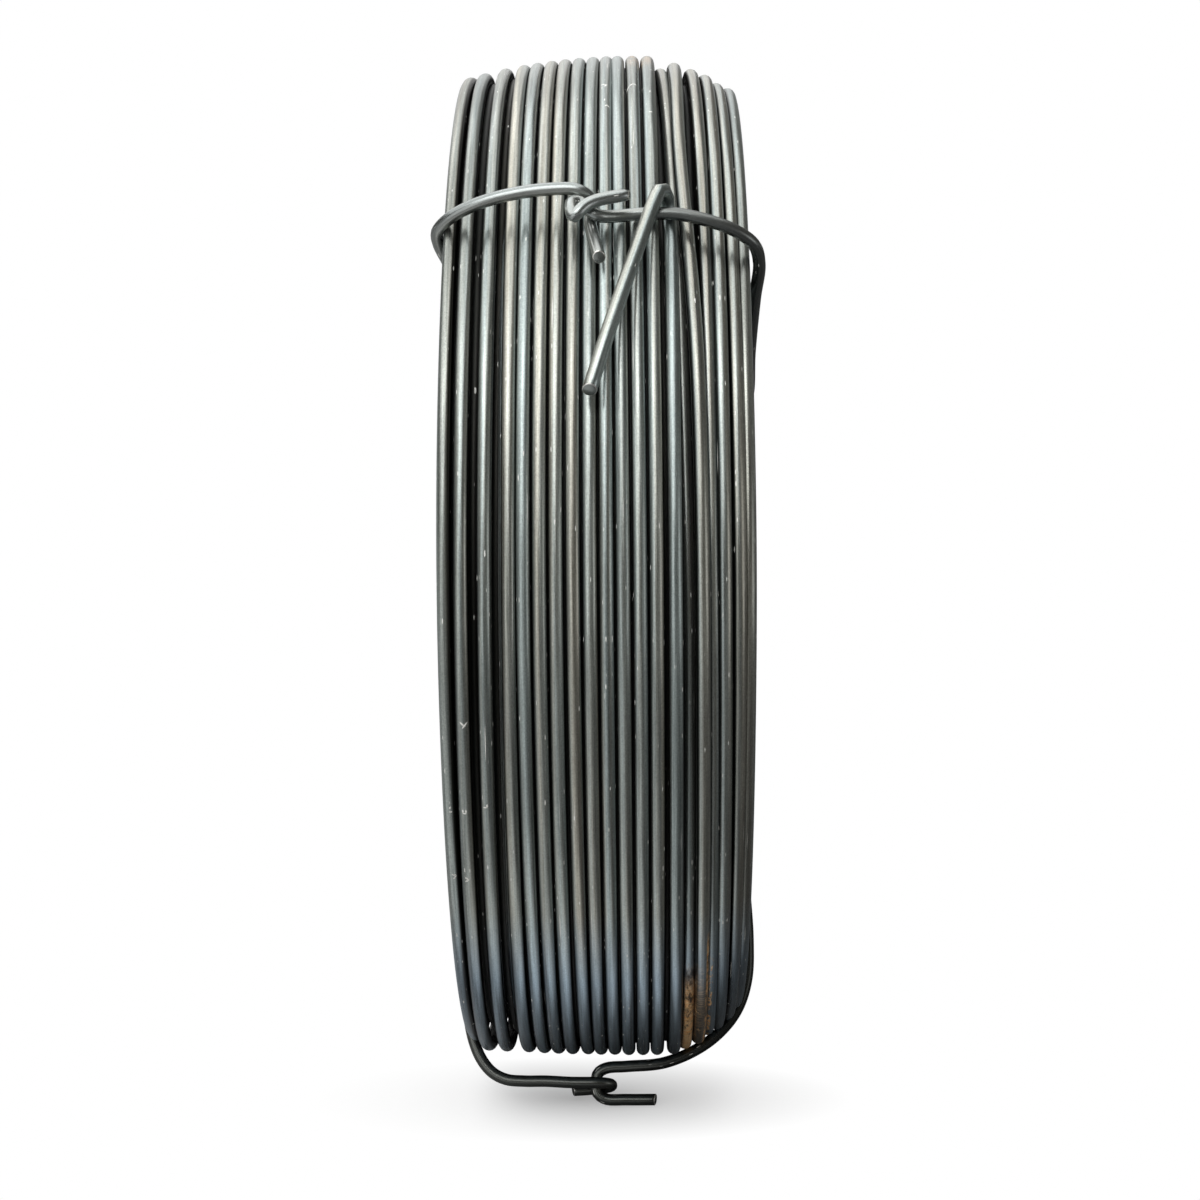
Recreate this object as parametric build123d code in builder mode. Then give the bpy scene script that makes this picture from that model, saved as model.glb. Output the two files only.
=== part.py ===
from build123d import *

import os
from math import acos, cos, degrees, radians, sin, tan

# A coil of annealed tie wire that stands on its rim, bound with three ties of thinner wire.
# X runs along the coil's axis, -Y is the front and Z is up. The origin is the centre of the bore.
# Lengths are in millimetres. Angles round the coil are in degrees, from the front upwards.

# Driving dimensions of the coil
wire_diameter = 1.6
coil_outer_diameter = 122.0
coil_bore_diameter = 64.0
coil_width = 33.0
crown_drop = 2.75
crown_power = 3
turn_pitch_share = 1.085
layer_pitch_share = 0.95
outer_layer_share = 0.74
valley_angle = 20.0

# Driving dimensions of the ties
tie_diameter = 1.4
tie_clearance = 0.25
tie_spacing_angle = 120.0
tail_clearance = 0.5
loop_bend_radius = 4.0
bore_bend_radius = 1.5
run_share = 0.45

# Driving dimensions of the free end of the coil's wire
free_end_length = 25.7
free_end_lean_angle = 16.8
free_end_dip_angle = 9.6
free_end_to_knot = 7.0

# Sizes that follow from the driving dimensions
coil_radius = coil_outer_diameter / 2
bore_radius = coil_bore_diameter / 2
wire_radius = wire_diameter / 2
tie_radius = tie_diameter / 2
turns_per_layer = int((coil_width - wire_diameter) / (turn_pitch_share * wire_diameter)) + 1
turn_pitch = (coil_width - wire_diameter) / (turns_per_layer - 1)
layer_pitch = layer_pitch_share * wire_diameter
outer_layer_turns = round(outer_layer_share * turns_per_layer)
end_turn_x = (coil_width - wire_diameter) / 2
last_turn_x = (outer_layer_turns - 1) * turn_pitch - end_turn_x
loop_side = coil_width / 2 + tie_clearance + tie_radius
loop_bore = bore_radius - coil_radius - tie_clearance - tie_radius


# Coil: a turned solid whose section has a ridge for each turn that shows

def outer_turn(index):
    """Centre of a turn on the outer face. The last turns lie a layer lower, where the layer isn't filled."""
    x = index * turn_pitch - end_turn_x
    crown = crown_drop * abs(x / end_turn_x) ** crown_power
    unfilled = 0 if index < outer_layer_turns else layer_pitch
    return Vector(x, coil_radius - wire_radius - crown - unfilled)


def end_turns(outermost, innermost):
    """Centres of the turns down one end of the coil. Every second layer nests half a turn inwards."""
    layers = round((outermost.Y - innermost.Y) / layer_pitch)
    down = (innermost - outermost) / layers
    inwards = Vector(-turn_pitch / 2 if outermost.X > 0 else turn_pitch / 2, 0)
    return [outermost + down * layer + inwards * (layer % 2) for layer in range(1, layers)]


def point_on_turn(centre, direction, angle):
    """Point on a turn's wire, at an angle from a direction."""
    return centre + direction.rotate(Axis.Z, angle).normalized() * wire_radius


outer_face = [outer_turn(index) for index in range(turns_per_layer)]
bore_face = [Vector(turn.X, bore_radius + wire_radius) for turn in reversed(outer_face)]
right_end = end_turns(outer_face[-1], bore_face[0])
left_end = end_turns(outer_face[0], bore_face[-1])
section_turns = outer_face + right_end + bore_face + left_end[::-1]
next_turns = section_turns[1:] + section_turns[:1]
last_turns = section_turns[-1:] + section_turns[:-1]

with BuildPart() as wire_coil:
    with BuildSketch():
        with BuildLine():
            for last_turn, turn, next_turn in zip(last_turns, section_turns, next_turns):
                to_last = last_turn - turn
                to_next = next_turn - turn
                exposed_angle = -to_last.get_signed_angle(to_next) % 360
                ridge_start = point_on_turn(turn, to_last, -valley_angle)
                ridge_crown = point_on_turn(turn, to_last, -exposed_angle / 2)
                ridge_end = point_on_turn(turn, to_next, valley_angle)
                next_start = point_on_turn(next_turn, turn - next_turn, -valley_angle)
                ThreePointArc(ridge_start, ridge_crown, ridge_end)
                Line(ridge_end, next_start)
        make_face()
    revolve(axis=Axis.X)


# Bent wire: straight runs with round bends between them
# A point of a wire is given along the axis, round the coil and out from the crowns.

def plane_at(angle):
    """Plane on the crowns, at an angle round the coil: X along the axis, Y round the coil, Z outwards."""
    outwards = Vector(0, -cos(radians(angle)), sin(radians(angle)))
    return Plane(outwards * coil_radius, x_dir=(1, 0, 0), z_dir=outwards)


def bend_radii(points):
    """Radius of each bend: the loop's or the bore's, or what the shorter of its two runs leaves room for."""
    radii = []
    for last_point, point, next_point in zip(points, points[1:], points[2:]):
        turn_angle = (point - last_point).get_angle(next_point - point)
        shorter_run = min((point - last_point).length, (next_point - point).length)
        wanted_radius = bore_bend_radius if point.Z == loop_bore else loop_bend_radius
        radii.append(min(wanted_radius, run_share * shorter_run / tan(radians(turn_angle / 2))))
    return radii


def sweep_wire(angle, points, radius):
    """Sweep a round wire along a route, in the plane at an angle round the coil."""
    with BuildLine(plane_at(angle)) as centre_line:
        FilletPolyline(*[tuple(point) for point in points], radius=bend_radii(points))
    with BuildSketch(Plane(centre_line.line @ 0, z_dir=centre_line.line % 0)) as section:
        Circle(radius)
    sweep(section.sketch, path=centre_line.line)


# Ties: each goes from one cut end through its knot, round the coil's section, and back through the knot
# In a knot, places are shares of the tie's diameter. On a run, the first is a share of the loop's side.

def tie_route(knot_x, first_knot_shares, first_run_shares, last_run_shares, last_knot_shares):
    """Points of a tie, from its first cut end to its last."""
    knot_place = Vector(knot_x, 0, 0)
    first_knot = [knot_place + Vector(*shares) * tie_diameter for shares in first_knot_shares]
    last_knot = [knot_place + Vector(*shares) * tie_diameter for shares in last_knot_shares]
    runs = [
        Vector(side_share * loop_side, round_share * tie_diameter, out_share * tie_diameter)
        for side_share, round_share, out_share in first_run_shares + last_run_shares
    ]
    first_run = runs[:len(first_run_shares)]
    last_run = runs[len(first_run_shares):]
    into_bore = Vector(first_run[-1].X, first_run[-1].Y, loop_bore)
    out_of_bore = Vector(last_run[0].X, last_run[0].Y, loop_bore)
    return first_knot + first_run + [into_bore, out_of_bore] + last_run + last_knot


# Hooked knot: the right wire hooks outwards, and the left one hooks round it
hooked_tail_share = 3.79
hooked_right_knot_shares = [
    (5.0, 0.0, hooked_tail_share),
    (-0.04, 0.0, hooked_tail_share),
    (-0.04, 0.0, 0.9),
    (3.4, 0.0, 0.9),
]
hooked_right_run_shares = [(0.5, 0.0, 0.7), (0.78, 0.0, -0.15), (1.0, 0.0, -1.6)]
hooked_left_run_shares = [(-1.0, 0.0, -0.4), (-0.72, 0.3, 1.6), (-0.5, 0.6, 2.2)]
hooked_left_knot_shares = [(-2.0, 1.05, 2.25), (1.1, 1.05, 2.3), (1.1, -1.05, 2.8), (-2.1, -1.05, 3.0)]
hooked_route = tie_route(
    0, hooked_right_knot_shares, hooked_right_run_shares, hooked_left_run_shares, hooked_left_knot_shares
)

# Wrapped knot: the left wire turns down, and the right one passes behind it, round it and back over it
wrapped_run_share = 0.58
wrapped_left_knot_shares = [
    (0.21, -5.64, 0.93),
    (-0.42, -2.4, 1.05),
    (-0.39, -0.52, 1.65),
    (-1.6, 0.36, 1.9),
    (-4.4, 0.36, 1.75),
]
wrapped_left_run_shares = [(-0.75, 0.36, 0.71), (-1.0, 0.36, -0.57)]
wrapped_right_run_shares = [(1.0, -2.1, -1.65), (0.78, -1.7, -0.21), (0.52, -1.15, wrapped_run_share)]
wrapped_right_knot_shares = [
    (0.9, -1.25, wrapped_run_share),
    (-0.9, 0.35, wrapped_run_share),
    (-1.9, 0.3, 0.75),
    (-2.2, -1.3, 1.45),
    (-1.4, -2.3, 2.2),
    (2.3, -0.76, 2.65),
]
wrapped_route = tie_route(
    last_turn_x - free_end_to_knot,
    wrapped_left_knot_shares,
    wrapped_left_run_shares,
    wrapped_right_run_shares,
    wrapped_right_knot_shares,
)

# The coil stands on its rim with the tail of the bottom tie just off the floor, which sets all three angles
tail_reach = coil_radius + hooked_tail_share * tie_diameter + tie_radius
bottom_tie_angle = degrees(acos((coil_radius - tail_clearance) / tail_reach)) - 90
front_tie_angle = bottom_tie_angle + tie_spacing_angle
back_tie_angle = front_tie_angle + tie_spacing_angle

with BuildPart() as front_tie:
    sweep_wire(front_tie_angle, wrapped_route, tie_radius)

with BuildPart() as bottom_tie:
    sweep_wire(bottom_tie_angle, hooked_route, tie_radius)

with BuildPart() as back_tie:
    sweep_wire(back_tie_angle, hooked_route, tie_radius)


# Free end of the coil's wire: it rises out of the last turn above the front tie and hooks back down over it
# Its places are shares of the wire's diameter, from the last turn's crown and the top of the tie.
free_end_root_shares = (0.0, -0.94, -1.375)
free_end_foot_shares = (0.0, 1.6, 0.125)
free_end_bend_shares = (-0.23, 1.5, 1.06)
last_turn_place = Vector(last_turn_x, 0, 0)
tie_top_place = Vector(last_turn_x, 0, wrapped_run_share * tie_diameter + tie_radius)
free_end_root = last_turn_place + Vector(*free_end_root_shares) * wire_diameter
free_end_foot = last_turn_place + Vector(*free_end_foot_shares) * wire_diameter
free_end_bend = tie_top_place + Vector(*free_end_bend_shares) * wire_diameter
free_end_reach = free_end_length * cos(radians(free_end_dip_angle))
free_end_tip = free_end_bend - Vector(
    free_end_reach * sin(radians(free_end_lean_angle)),
    free_end_reach * cos(radians(free_end_lean_angle)),
    free_end_length * sin(radians(free_end_dip_angle)),
)

with wire_coil:
    sweep_wire(front_tie_angle, [free_end_root, free_end_foot, free_end_bend, free_end_tip], wire_radius)

# Finished pieces
wire_coil.part.label = "wire_coil"
front_tie.part.label = "front_tie"
bottom_tie.part.label = "bottom_tie"
back_tie.part.label = "back_tie"

os.makedirs("parts", exist_ok=True)
export_step(wire_coil.part, "parts/wire_coil.step")
export_step(front_tie.part, "parts/front_tie.step")
export_step(bottom_tie.part, "parts/bottom_tie.step")
export_step(back_tie.part, "parts/back_tie.step")
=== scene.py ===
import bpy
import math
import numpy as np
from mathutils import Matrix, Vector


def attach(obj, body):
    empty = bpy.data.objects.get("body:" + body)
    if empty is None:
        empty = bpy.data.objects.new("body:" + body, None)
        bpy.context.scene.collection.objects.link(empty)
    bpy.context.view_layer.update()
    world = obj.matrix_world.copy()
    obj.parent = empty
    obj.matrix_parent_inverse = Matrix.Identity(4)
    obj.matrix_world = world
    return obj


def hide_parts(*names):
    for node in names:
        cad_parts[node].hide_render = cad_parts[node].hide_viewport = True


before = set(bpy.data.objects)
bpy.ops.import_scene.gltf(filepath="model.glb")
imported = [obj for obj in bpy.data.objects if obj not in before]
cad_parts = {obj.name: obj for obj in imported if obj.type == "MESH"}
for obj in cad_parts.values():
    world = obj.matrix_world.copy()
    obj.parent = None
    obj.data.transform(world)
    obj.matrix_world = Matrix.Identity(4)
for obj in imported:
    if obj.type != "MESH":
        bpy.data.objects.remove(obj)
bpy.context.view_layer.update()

# %% [markdown]
# # A coil of tie wire
# The real object is one long wire, wound in layers round an open bore and held by three ties of thinner wire.
# It stands on its rim. The outer layer isn't full: on the right the turns lie one layer lower.
# The frame that is loaded above gives the pieces their places, so everything here is in its metres and axes.
# X runs along the coil's axis, -Y is the front and Z is up.

# %% [markdown]
# ## Camera
# The photograph looks down on the coil a little, from close by, with a long lens.
# The camera first looks at the bore's centre, and is then tipped, panned and rolled by a fraction of a degree.
# That puts the coil where it stands in the picture, and needs no lens shift.

# %% Camera
mm = 0.001
camera_lens = 88.5
camera_sensor_width = 36
camera_distance = 365 * mm
camera_height_angle = math.radians(17.3)
camera_side_angle = math.radians(0.6)
camera_tip_angle = math.radians(-0.8375)
camera_pan_angle = math.radians(0.078)
camera_roll_angle = math.radians(-0.46)

bpy.ops.object.select_all(action="DESELECT")
bpy.ops.object.camera_add()
camera = bpy.context.object
camera.name = "photo_camera"
camera.data.lens = camera_lens
camera.data.sensor_width = camera_sensor_width
camera.data.clip_start = 10 * mm
towards_camera = (
    Matrix.Rotation(camera_side_angle, 4, "Z")
    @ Matrix.Rotation(math.pi / 2 - camera_height_angle, 4, "X")
)
camera.matrix_world = (
    towards_camera
    @ Matrix.Translation((0, 0, camera_distance))
    @ Matrix.Rotation(camera_pan_angle, 4, "Y")
    @ Matrix.Rotation(camera_tip_angle, 4, "X")
    @ Matrix.Rotation(camera_roll_angle, 4, "Z")
)
bpy.context.scene.camera = camera
print("camera at", [round(c, 3) for c in camera.matrix_world.translation])

# %% [markdown]
# ## Marks on a wire
# Every visible piece but one is a bent round wire, and its finish follows the wire: drawing marks run along it,
# and shade is painted into the grooves between the turns. An unwrapped map could carry that, but the mesh can do it
# better.
# Each point of a wire keeps how far along the wire it is and which way round, and how deep it lies in a groove.
# For the groove's painted shade, a piece says which way is out of the coil where it lies.

# %% Ways out of the coil
lean_places = [-15.5, -14.0, 8.0, 11.0, 14.0, 15.5]
leans = [-1.0, 0.0, 0.0, 0.4, 0.6, 1.0]


def away_from_axis(centres):
    """Directions straight away from the coil's axis."""
    radial = centres * (0, 1, 1)
    return radial / np.linalg.norm(radial, axis=1)[:, None]


def out_of_outer_face(centres):
    """Directions out of the outer face. They lean out at the ends, where a turn shows its side."""
    lean = np.interp(centres[:, 0] / mm, lean_places, leans)
    outwards = away_from_axis(centres) + lean[:, None] * np.array([1.0, 0, 0])
    return outwards / np.linalg.norm(outwards, axis=1)[:, None]


def out_of_left_end(centres):
    """Directions out of the left end."""
    return centres * 0 + (-1, 0, 0)


def out_of_right_end(centres):
    """Directions out of the right end."""
    return centres * 0 + (1, 0, 0)


def out_of_bore(centres):
    """Directions into the open bore."""
    return -away_from_axis(centres)


# %% [markdown]
# A curve's mesh is made ring by ring, so the points of one ring share the length that the wire has reached there.
# Which way round is kept as a cosine and a sine, because an angle would jump where it starts again.
# The groove's depth is 0 at the outermost line of a turn and 1 at its sides.

# %% Marks along and round a wire
groove_radius = 60.5 * mm


def wire_lengths(routes, start_length):
    """How far along its wire each point of some routes is."""
    lengths = []
    for route in routes:
        steps = np.linalg.norm(np.diff(route, axis=0), axis=1)
        lengths.append(start_length + np.concatenate([[0], np.cumsum(steps)]))
        start_length += steps.sum()
    return np.concatenate(lengths)


def mark_wire(mesh, routes, diameter, start_length, outwards):
    """Write the marks to each point of a wire's mesh. A wire that stands off the turns has no groove."""
    lengths = wire_lengths(routes, start_length)
    ring_points = len(mesh.vertices) // len(lengths)
    angle = np.tile(np.arange(ring_points) / ring_points * 2 * math.pi, len(lengths))
    marks = np.column_stack([np.repeat(lengths, ring_points), np.cos(angle), np.sin(angle)])
    along = mesh.attributes.new("along_wire", "FLOAT_VECTOR", "POINT")
    along.data.foreach_set("vector", marks.astype(np.float32).ravel())
    depths = np.zeros(len(mesh.vertices))
    if outwards:
        centres = np.repeat(np.vstack(routes), ring_points, axis=0)
        places = np.zeros(len(mesh.vertices) * 3)
        mesh.vertices.foreach_get("co", places)
        offsets = (places.reshape(-1, 3) - centres) / (diameter / 2)
        depths = 1 - (offsets * outwards(centres)).sum(axis=1)
        depths *= np.linalg.norm(centres[:, 1:], axis=1) < groove_radius
    groove = mesh.attributes.new("groove", "FLOAT", "POINT")
    groove.data.foreach_set("value", depths.astype(np.float32))


# %% [markdown]
# ## Cut ends
# Side cutters pinch the wire and leave a slanted end with a thin bright edge round it.
# By hand the end's ring would be rotated a little and its face inset. The same is done here to both ends,
# and the new faces are marked as cut metal for the finish.

# %% Cut ends
end_ring_share = 0.52
end_inset_share = 0.07
end_swell_share = 0.05
cut_face_mark = 1.0
cut_edge_mark = 0.5


def slant_end(mesh, end, inwards, diameter, slant):
    """Slant the ring of points at a cut end, as cutters leave it."""
    end = Vector(end)
    direction = (end - Vector(inwards)).normalized()
    backwards = Vector((0, 1, 0))
    side = (backwards - direction * backwards.dot(direction)).normalized()
    for point in mesh.vertices:
        offset = point.co - end
        if offset.length < diameter * end_ring_share:
            point.co += direction * (offset.dot(side) * slant)


def blunt_ends(piece, ring_steps, diameter):
    """Inset the two end faces and push them out a little, and mark them and their edges as cut metal."""
    side_count = len(piece.data.polygons)
    for face in piece.data.polygons:
        face.select = len(face.vertices) == ring_steps
    bpy.ops.object.mode_set(mode="EDIT")
    bpy.ops.mesh.inset(
        thickness=diameter * end_inset_share, depth=diameter * end_swell_share, use_individual=True
    )
    bpy.ops.object.mode_set(mode="OBJECT")
    cut = piece.data.attributes.new("cut", "FLOAT", "FACE")
    for face in piece.data.polygons:
        if len(face.vertices) == ring_steps:
            cut.data[face.index].value = cut_face_mark
        elif face.index >= side_count:
            cut.data[face.index].value = cut_edge_mark


# %% [markdown]
# ## How a wire is made
# By hand a wire would be a curve with a round bevel. A curve gives an even tube along any route,
# so the points of each route go into a poly curve, which is then converted to a mesh.
# Its open ends are filled, and where they show they are cut as above.

# %% One bent wire
smooth_angle = math.radians(50)


def wire_curve(name, routes, diameter, ring_steps, end_shares):
    """A curve with a round bevel along each route. The last points can taper, as a worn end does."""
    curve = bpy.data.curves.new(name, "CURVE")
    curve.dimensions = "3D"
    curve.bevel_depth = diameter / 2
    curve.bevel_resolution = (ring_steps - 4) // 2
    for route in routes:
        spline = curve.splines.new("POLY")
        spline.points.add(len(route) - 1)
        spline.points.foreach_set("co", np.column_stack([route, np.ones(len(route))]).ravel())
        for place, share in enumerate(reversed(end_shares), start=1):
            spline.points[-place].radius = share
    return curve


def wire_piece(name, routes, diameter, ring_steps, start_length=0.0, slant=0.0, outwards=None, end_shares=()):
    """A mesh of one or more wires, from routes of points in metres. With a slant, its ends are cut ends that show."""
    bpy.ops.object.select_all(action="DESELECT")
    piece = bpy.data.objects.new(name, wire_curve(name, routes, diameter, ring_steps, end_shares))
    bpy.context.scene.collection.objects.link(piece)
    bpy.context.view_layer.objects.active = piece
    piece.select_set(True)
    bpy.ops.object.convert(target="MESH")
    piece = bpy.context.object
    mark_wire(piece.data, routes, diameter, start_length, outwards)
    if slant:
        slant_end(piece.data, routes[0][0], routes[0][1], diameter, slant)
        slant_end(piece.data, routes[0][-1], routes[0][-2], diameter, slant)
    bpy.ops.object.mode_set(mode="EDIT")
    bpy.ops.mesh.select_mode(type="FACE")
    bpy.ops.mesh.select_all(action="SELECT")
    bpy.ops.mesh.fill_holes(sides=ring_steps)
    bpy.ops.mesh.normals_make_consistent(inside=False)
    bpy.ops.mesh.select_all(action="DESELECT")
    bpy.ops.object.mode_set(mode="OBJECT")
    if slant:
        blunt_ends(piece, ring_steps, diameter)
    bpy.ops.object.shade_smooth_by_angle(angle=smooth_angle)
    wire_length = sum(np.linalg.norm(np.diff(route, axis=0), axis=1).sum() for route in routes)
    print(name, "faces", len(piece.data.polygons), "wire in metres", round(wire_length, 2))
    return piece


# %% [markdown]
# ## Winding
# A turn is described by where it shows in the photograph: how far along the axis it lies, and how far it lies
# below the highest turn, at the top, in front and at the bottom of the coil.
# Between those places the wire eases over. Most of the step to the next turn is at the back.
# A Screw modifier would wind an even helix, but a hand-tied coil has uneven gaps, so the turns are wound here.

# %% A wound wire
# Lengths of the coil are in millimetres, and a turn is counted from the top of the coil towards its front.
wire_diameter = 1.6
highest_radius = 60.95 - wire_diameter / 2
top_angle = 100.0
front_turn = 0.23
bottom_turn = 0.505
crown_place = 3
left_reach, left_drop = 18.7, 2.5
right_reach, right_drop = 12.7, 2.1


def crown(place):
    """How far the outer layer lies below its highest turn, which is a little to the right of the middle."""
    if place < crown_place:
        return left_drop * ((place - crown_place) / left_reach) ** 2
    return right_drop * ((place - crown_place) / right_reach) ** 3


def wind(stations, steps_per_turn, ease=0.16):
    """Points of a wound wire, from stations of turn, place along the axis and drop below the highest turn."""
    turn, place, drop = np.array(stations, dtype=float).T
    turns = np.arange(turn[0], turn[-1], 1 / steps_per_turn)
    width = int(ease * steps_per_turn) // 2 * 2 + 1
    window = np.hanning(width + 2)[1:-1]
    window /= window.sum()

    def eased(values):
        line = np.pad(np.interp(turns, turn, values), width // 2, mode="edge")
        return np.convolve(line, window, mode="valid")

    angle = np.radians(top_angle - 360 * turns)
    radius = highest_radius - eased(drop)
    return np.column_stack([eased(place), -radius * np.cos(angle), radius * np.sin(angle)]) * mm


print("crown at the two ends", round(crown(-15.5), 2), round(crown(15.5), 2))

# %% [markdown]
# ## Outer layer
# Thirteen turns fill the outer layer from the left end. Their gaps aren't even: the second and third stand apart,
# and so do the third and fourth, and the layer below shows between them.
# The first turn climbs out of the layer below, and the last one tucks under at the back.

# %% Outer turns
# Each row is one turn: its place at the top, in front and at the bottom, and its drop at the bottom.
outer_turn_rows = [
    (-15.5, -16.1, -15.3, 1.85),
    (-13.75, -14.3, -13.95, 0.4),
    (-11.25, -11.85, -11.85, 0.35),
    (-9.05, -9.3, -9.15, 0.3),
    (-7.45, -7.8, -7.2, 0.2),
    (-5.75, -6.1, -5.5, 0.15),
    (-4.15, -4.4, -3.8, 0.1),
    (-2.5, -2.6, -1.9, 0.1),
    (-0.85, -0.85, -0.4, 0.05),
    (0.7, 0.88, 1.25, 0.05),
    (2.0, 2.65, 2.9, 0.0),
    (3.75, 4.4, 4.6, 0.0),
    (5.55, 6.1, 6.3, 0.0),
]
front_crown_share = 0.65
shown_turn_steps = 220
shown_ring_steps = 16

outer_stations = [(-1.3, -14.0, 6.2), (-1.15, -14.6, 4.2), (-0.35, -14.8, 4.1)]
for index, (top, front, bottom, bottom_drop) in enumerate(outer_turn_rows):
    outer_stations.append((index, top, crown(top)))
    outer_stations.append((index + front_turn, front, crown(front) * front_crown_share))
    outer_stations.append((index + bottom_turn, bottom, bottom_drop))
outer_stations += [(12.7, 6.6, 0.8), (12.9, 6.9, 2.2), (13.0, 7.0, 3.2)]
outer_turns = wire_piece(
    "outer_turns", [wind(outer_stations, shown_turn_steps)], wire_diameter * mm, shown_ring_steps,
    outwards=out_of_outer_face,
)

# %% [markdown]
# ## Places at a tie
# Each tie goes round the coil's section at its own angle, and the three are a third of a round apart.
# A point of a tie, or of the free end that hooks over one, is given in millimetres along the axis,
# round the coil and out from the crowns. By hand such a wire would be drawn point by point on a tilted plane.
# The points are joined by a smooth line that passes through each of them, without kinks.

# %% Places at a tie
coil_radius = 61.0
front_tie_angle = 55.46
bottom_tie_angle = front_tie_angle - 120
back_tie_angle = front_tie_angle + 120


def at_tie(angle, points):
    """Points at a tie, in the coil's frame, in metres."""
    a = math.radians(angle)
    outwards = np.array([0, -math.cos(a), math.sin(a)])
    upwards = np.array([0, math.sin(a), math.cos(a)])
    along = np.array([1.0, 0, 0])
    points = np.asarray(points, dtype=float)
    return (
        points[:, :1] * along + points[:, 1:2] * upwards + (points[:, 2:] + coil_radius) * outwards
    ) * mm


def between(start, end, start_knot, end_knot, knot):
    """A point between two others, as far along as a knot lies between theirs."""
    span = end_knot - start_knot
    return (end_knot - knot) / span * start + (knot - start_knot) / span * end


def bend(points, step=0.3):
    """A smooth line through given points, as a bent wire lies."""
    points = [np.asarray(point, dtype=float) for point in points]
    points = [2 * points[0] - points[1]] + points + [2 * points[-1] - points[-2]]
    line = []
    for four in zip(points, points[1:], points[2:], points[3:]):
        gaps = [max(np.linalg.norm(end - start), 1e-6) ** 0.5 for start, end in zip(four, four[1:])]
        knots = np.cumsum([0] + gaps)
        count = max(int(np.linalg.norm(four[2] - four[1]) / step), 2)
        for knot in np.linspace(knots[1], knots[2], count, endpoint=False):
            first = [between(four[i], four[i + 1], knots[i], knots[i + 1], knot) for i in range(3)]
            second = [between(first[i], first[i + 1], knots[i], knots[i + 2], knot) for i in range(2)]
            line.append(between(second[0], second[1], knots[1], knots[2], knot))
    line.append(points[-2])
    return np.array(line)


def resample(points, step):
    """Points at an even step along a line."""
    points = np.asarray(points, dtype=float)
    lengths = np.concatenate([[0], np.cumsum(np.linalg.norm(np.diff(points, axis=0), axis=1))])
    even = np.linspace(0, lengths[-1], max(int(lengths[-1] / step) + 1, 4))
    return np.stack([np.interp(even, lengths, points[:, axis]) for axis in range(3)], axis=1)


print("ties at", front_tie_angle, bottom_tie_angle, back_tie_angle, "degrees")

# %% [markdown]
# ## Free end and the last turns
# The wire's outer end is cut off and hangs in front. It goes up, hooks back over the front tie from above,
# and then runs down beside the outer layer. Behind the coil it steps to the right and carries on there,
# one layer lower, to the right end.

# %% Free end and last turns
free_end = [
    (-0.75, -24.2, -2.3), (1.25, -17.6, -0.35), (3.42, -10.6, 1.2), (5.03, -5.4, 2.15), (5.95, -2.4, 2.6),
    (6.18, -1.8, 2.72), (6.45, -0.8, 2.75), (6.88, -0.1, 2.5), (7.25, 0.1, 1.85), (7.42, 0.2, 1.0),
    (7.5, -0.05, 0.1), (7.6, -0.85, -0.55), (7.7, -2.0, -0.85), (7.78, -3.4, -1.0), (7.82, -6.0, -1.22),
]
last_stations = [
    (0.1377, 7.85, 0.1), (0.17, 7.9, 0.12), (front_turn, 8.05, 0.12), (bottom_turn, 8.3, 0.1), (0.75, 8.4, 0.4),
    (1.0, 8.8, 0.85), (1.1, 8.85, 0.9), (1.17, 10.5, 1.1),
    (1 + front_turn, 10.88, 1.15), (1 + bottom_turn, 11.25, 1.4), (1.75, 11.6, 1.9),
    (2.0, 12.45, 2.3), (2 + front_turn, 13.2, 2.3), (2 + bottom_turn, 13.5, 3.2),
    (3.0, 13.8, 3.3), (3 + front_turn, 14.75, 2.95), (3 + bottom_turn, 14.7, 4.5),
    (4.0, 15.2, 3.9), (4 + front_turn, 15.8, 3.7), (4 + bottom_turn, 15.5, 6.0),
    (4.75, 15.1, 6.6), (4.9, 14.2, 7.6),
]
points_the_free_end_replaces = 4
last_turn_step = 1.2 * mm

last_route = wind(last_stations, shown_turn_steps, ease=0.09)
last_route = np.vstack([at_tie(front_tie_angle, bend(free_end)), last_route[points_the_free_end_replaces:]])
last_turns = wire_piece(
    "last_turns", [resample(last_route, last_turn_step)], wire_diameter * mm, shown_ring_steps,
    start_length=6.1, slant=0.45, outwards=out_of_outer_face,
)

# %% [markdown]
# ## Turns that show in the gaps
# Two turns of the layer below show between the last ones. One more shows for a stretch beside the third turn,
# and the rest of that layer shows as slivers, in a nearly black finish that paints the shade between the turns.
# What only glints between two turns needs fewer sides, so these wires get coarser as they lie deeper.

# %% Lower turns on the right
lower_stations = [
    (-0.4, 6.6, 3.4), (-0.25, 6.9, 2.0), (0.0, 7.0, 1.4), (front_turn, 9.45, 2.8), (bottom_turn, 9.65, 0.25),
    (0.75, 10.2, 2.2), (1.0, 10.75, 1.5), (1 + front_turn, 11.95, 2.6), (1 + bottom_turn, 12.35, 2.3),
    (1.7, 12.2, 3.6), (1.85, 12.2, 4.8),
]
lower_right = wire_piece(
    "lower_right_turns", [wind(lower_stations, 180)], wire_diameter * mm, 12,
    start_length=3.1, outwards=out_of_outer_face,
)

# %% [markdown]
# The gap beside the third turn is wide enough to show a whole wire of the layer below.
# It rises into the gap in front, where the photograph shows it, and sinks out of sight above and below.

# %% Turn beside the third one
gap_stations = [
    (0.0, -10.1, 4.2), (0.1, -9.85, 3.0), (0.18, -9.75, 2.2), (front_turn, -9.72, 2.05),
    (0.36, -9.78, 2.2), (0.43, -9.95, 3.0), (0.52, -10.2, 4.2),
]
gap_turn = wire_piece(
    "gap_turn", [wind(gap_stations, 160)], wire_diameter * mm, 12, start_length=4.6, outwards=away_from_axis
)

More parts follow.
